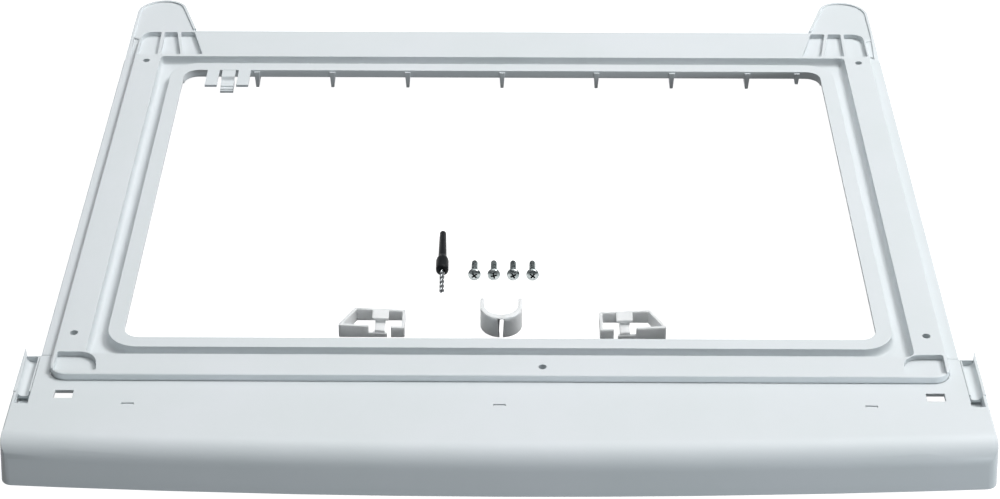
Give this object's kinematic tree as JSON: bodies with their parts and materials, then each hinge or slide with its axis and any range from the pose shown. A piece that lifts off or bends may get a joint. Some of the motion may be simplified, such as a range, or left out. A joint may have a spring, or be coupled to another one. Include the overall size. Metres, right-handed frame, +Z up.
{
  "type": "washer dryer stacking kit",
  "caption": "Moulded plastic stacking frame with a bowed front cover, a cable holder and loose brackets, a clip, screws and a stop drill.",
  "frame": {"origin": "centre of the kit's base, in the plane of the front cover's lower edge", "axes": "+X to the right seen from the front, +Y to the back, +Z up; the bowed front cover faces -Y"},
  "size_m": [0.5944, 0.5566, 0.0368],
  "materials": {
    "frame_plastic": "fine satin moulded plastic",
    "fascia_plastic": "fine satin moulded plastic",
    "clip_plastic": "fine satin moulded plastic",
    "loose_plastic": "fine satin moulded plastic",
    "zinc_steel": "zinc plated",
    "drill_steel": "dark tool steel, ground",
    "black_plastic": "moulded, slightly glossy"
  },
  "bodies": {
    "kit": {"tray_frame": "frame_plastic", "front_fascia": "fascia_plastic", "side_clip_left": "clip_plastic", "side_clip_right": "clip_plastic"},
    "cable_tongue": {"cable_tongue": "frame_plastic"},
    "wedge_bracket_left": {"wedge_bracket_left": "loose_plastic"},
    "wedge_bracket_right": {"wedge_bracket_right": "loose_plastic"},
    "hose_clip": {"hose_clip": "loose_plastic"},
    "screw_1": {"screw_1": "zinc_steel"},
    "screw_2": {"screw_2": "zinc_steel"},
    "screw_3": {"screw_3": "zinc_steel"},
    "screw_4": {"screw_4": "zinc_steel"},
    "drill": {"drill_stop": "black_plastic", "drill_bit": "drill_steel"}
  },
  "joints": [
    {"name": "cable_tongue_flex", "type": "hinge", "parent": "kit", "child": "cable_tongue", "pos_m": [-0.2024, 0.16885, 0.0345], "axis": [1, 0, 0], "range_deg": [-8, 12], "stiffness_Nm_per_rad": 0.6},
    {"name": "wedge_bracket_left_lift", "type": "slide", "parent": "kit", "child": "wedge_bracket_left", "axis": [0, 0, 1], "range_m": [0, 0.06]},
    {"name": "wedge_bracket_right_lift", "type": "slide", "parent": "kit", "child": "wedge_bracket_right", "axis": [0, 0, 1], "range_m": [0, 0.06]},
    {"name": "hose_clip_lift", "type": "slide", "parent": "kit", "child": "hose_clip", "axis": [0, 0, 1], "range_m": [0, 0.06]},
    {"name": "screw_1_lift", "type": "slide", "parent": "kit", "child": "screw_1", "axis": [0, 0, 1], "range_m": [0, 0.06]},
    {"name": "screw_2_lift", "type": "slide", "parent": "kit", "child": "screw_2", "axis": [0, 0, 1], "range_m": [0, 0.06]},
    {"name": "screw_3_lift", "type": "slide", "parent": "kit", "child": "screw_3", "axis": [0, 0, 1], "range_m": [0, 0.06]},
    {"name": "screw_4_lift", "type": "slide", "parent": "kit", "child": "screw_4", "axis": [0, 0, 1], "range_m": [0, 0.06]},
    {"name": "drill_lift", "type": "slide", "parent": "kit", "child": "drill", "axis": [0, 0, 1], "range_m": [0, 0.06]}
  ]
}
